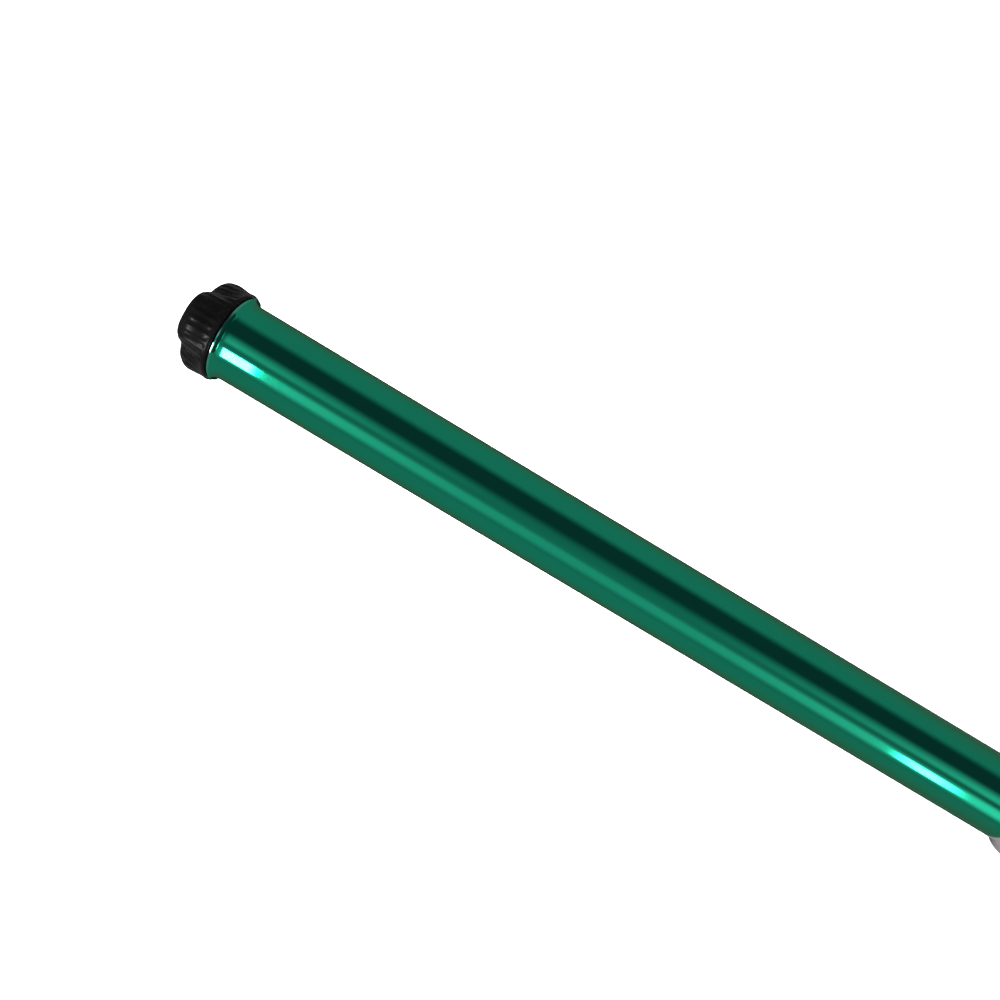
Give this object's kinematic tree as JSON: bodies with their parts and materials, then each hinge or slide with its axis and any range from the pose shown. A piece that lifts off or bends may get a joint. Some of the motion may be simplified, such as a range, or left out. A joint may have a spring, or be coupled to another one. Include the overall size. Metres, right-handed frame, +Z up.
{
  "type": "post driver",
  "caption": "Slide-hammer post driver: a weighted green tube with a lobed screw cap slides on a rod and strikes a socketed drive head set over the post.",
  "frame": {"origin": "centre of the drive head's open mouth, where it sits over the post", "axes": "+Z up along the rod and hammer tube, towards the screw cap; +X towards the sleeve pin"},
  "size_m": [0.086, 0.086, 0.6854],
  "materials": {
    "candy_green": "glossy candy green lacquer over bright steel tube",
    "black_cap": "satin black moulded knob",
    "zinc": "satin zinc-plated steel",
    "black_oxide": "black oxide steel",
    "bright_steel": "ground bright steel",
    "spring_steel": "oiled spring steel",
    "cast_weight": "turned cast iron",
    "bronze": "bearing bronze",
    "black_rubber": "black rubber",
    "amber_urethane": "amber cast urethane",
    "nylon": "natural nylon"
  },
  "bodies": {
    "drive_head_and_rod": {"drive_head": "black_oxide", "socket_bell": "black_oxide", "bell_screw_1": "black_oxide", "bell_screw_2": "black_oxide", "bell_screw_3": "black_oxide", "bell_screw_4": "black_oxide", "bell_screw_5": "black_oxide", "bell_screw_6": "black_oxide", "rod_cross_pin": "zinc", "anvil_pad": "bright_steel", "pad_snap_ring": "spring_steel", "post_sleeve": "bright_steel", "drive_rod": "bright_steel", "shock_washer": "amber_urethane", "rod_stop_collar": "black_oxide", "rod_guide_ring": "nylon", "rod_circlip": "spring_steel"},
    "sleeve_pin": {"sleeve_pin": "zinc"},
    "pull_ring": {"pull_ring": "zinc"},
    "hammer": {"hammer_tube": "candy_green", "mouth_collar": "zinc", "guide_bush": "bronze", "wiper_seal": "black_rubber", "set_screw_1": "black_oxide", "set_screw_2": "black_oxide", "set_screw_3": "black_oxide", "rebound_bumper": "black_rubber", "bulkhead_ring": "spring_steel", "bulkhead_plug": "black_oxide", "buffer_disc": "black_rubber", "ballast_weight_1": "cast_weight", "ballast_weight_2": "cast_weight", "ballast_weight_3": "cast_weight", "ballast_spring": "spring_steel", "threaded_insert": "black_oxide"},
    "cap_thrust_washer": {"thrust_washer": "bright_steel"},
    "screw_cap": {"end_cap": "black_cap", "cap_seal": "black_rubber"}
  },
  "joints": [
    {"name": "hammer_slide", "type": "slide", "parent": "drive_head_and_rod", "child": "hammer", "axis": [0, 0, 1], "range_m": [0, 0.2925]},
    {"name": "cap_lift", "type": "slide", "parent": "hammer", "child": "cap_thrust_washer", "axis": [0, 0, 1], "range_m": [0, 0.0101], "deforming": ["ballast_spring"]},
    {"name": "cap_turn", "type": "hinge", "parent": "cap_thrust_washer", "child": "screw_cap", "pos_m": [0, 0, 0.667], "axis": [0, 0, 1], "range_deg": [0, 1440]},
    {"name": "sleeve_pin_pull", "type": "slide", "parent": "drive_head_and_rod", "child": "sleeve_pin", "axis": [1, 0, 0], "range_m": [0, 0.0125]},
    {"name": "pull_ring_flip", "type": "hinge", "parent": "sleeve_pin", "child": "pull_ring", "pos_m": [0.0392, 0, 0.034], "axis": [0, -1, 0], "range_deg": [0, 150]}
  ],
  "couplings": [
    {"joint": "cap_lift", "follows": "cap_turn", "m_per_rad": 0.00039789}
  ]
}
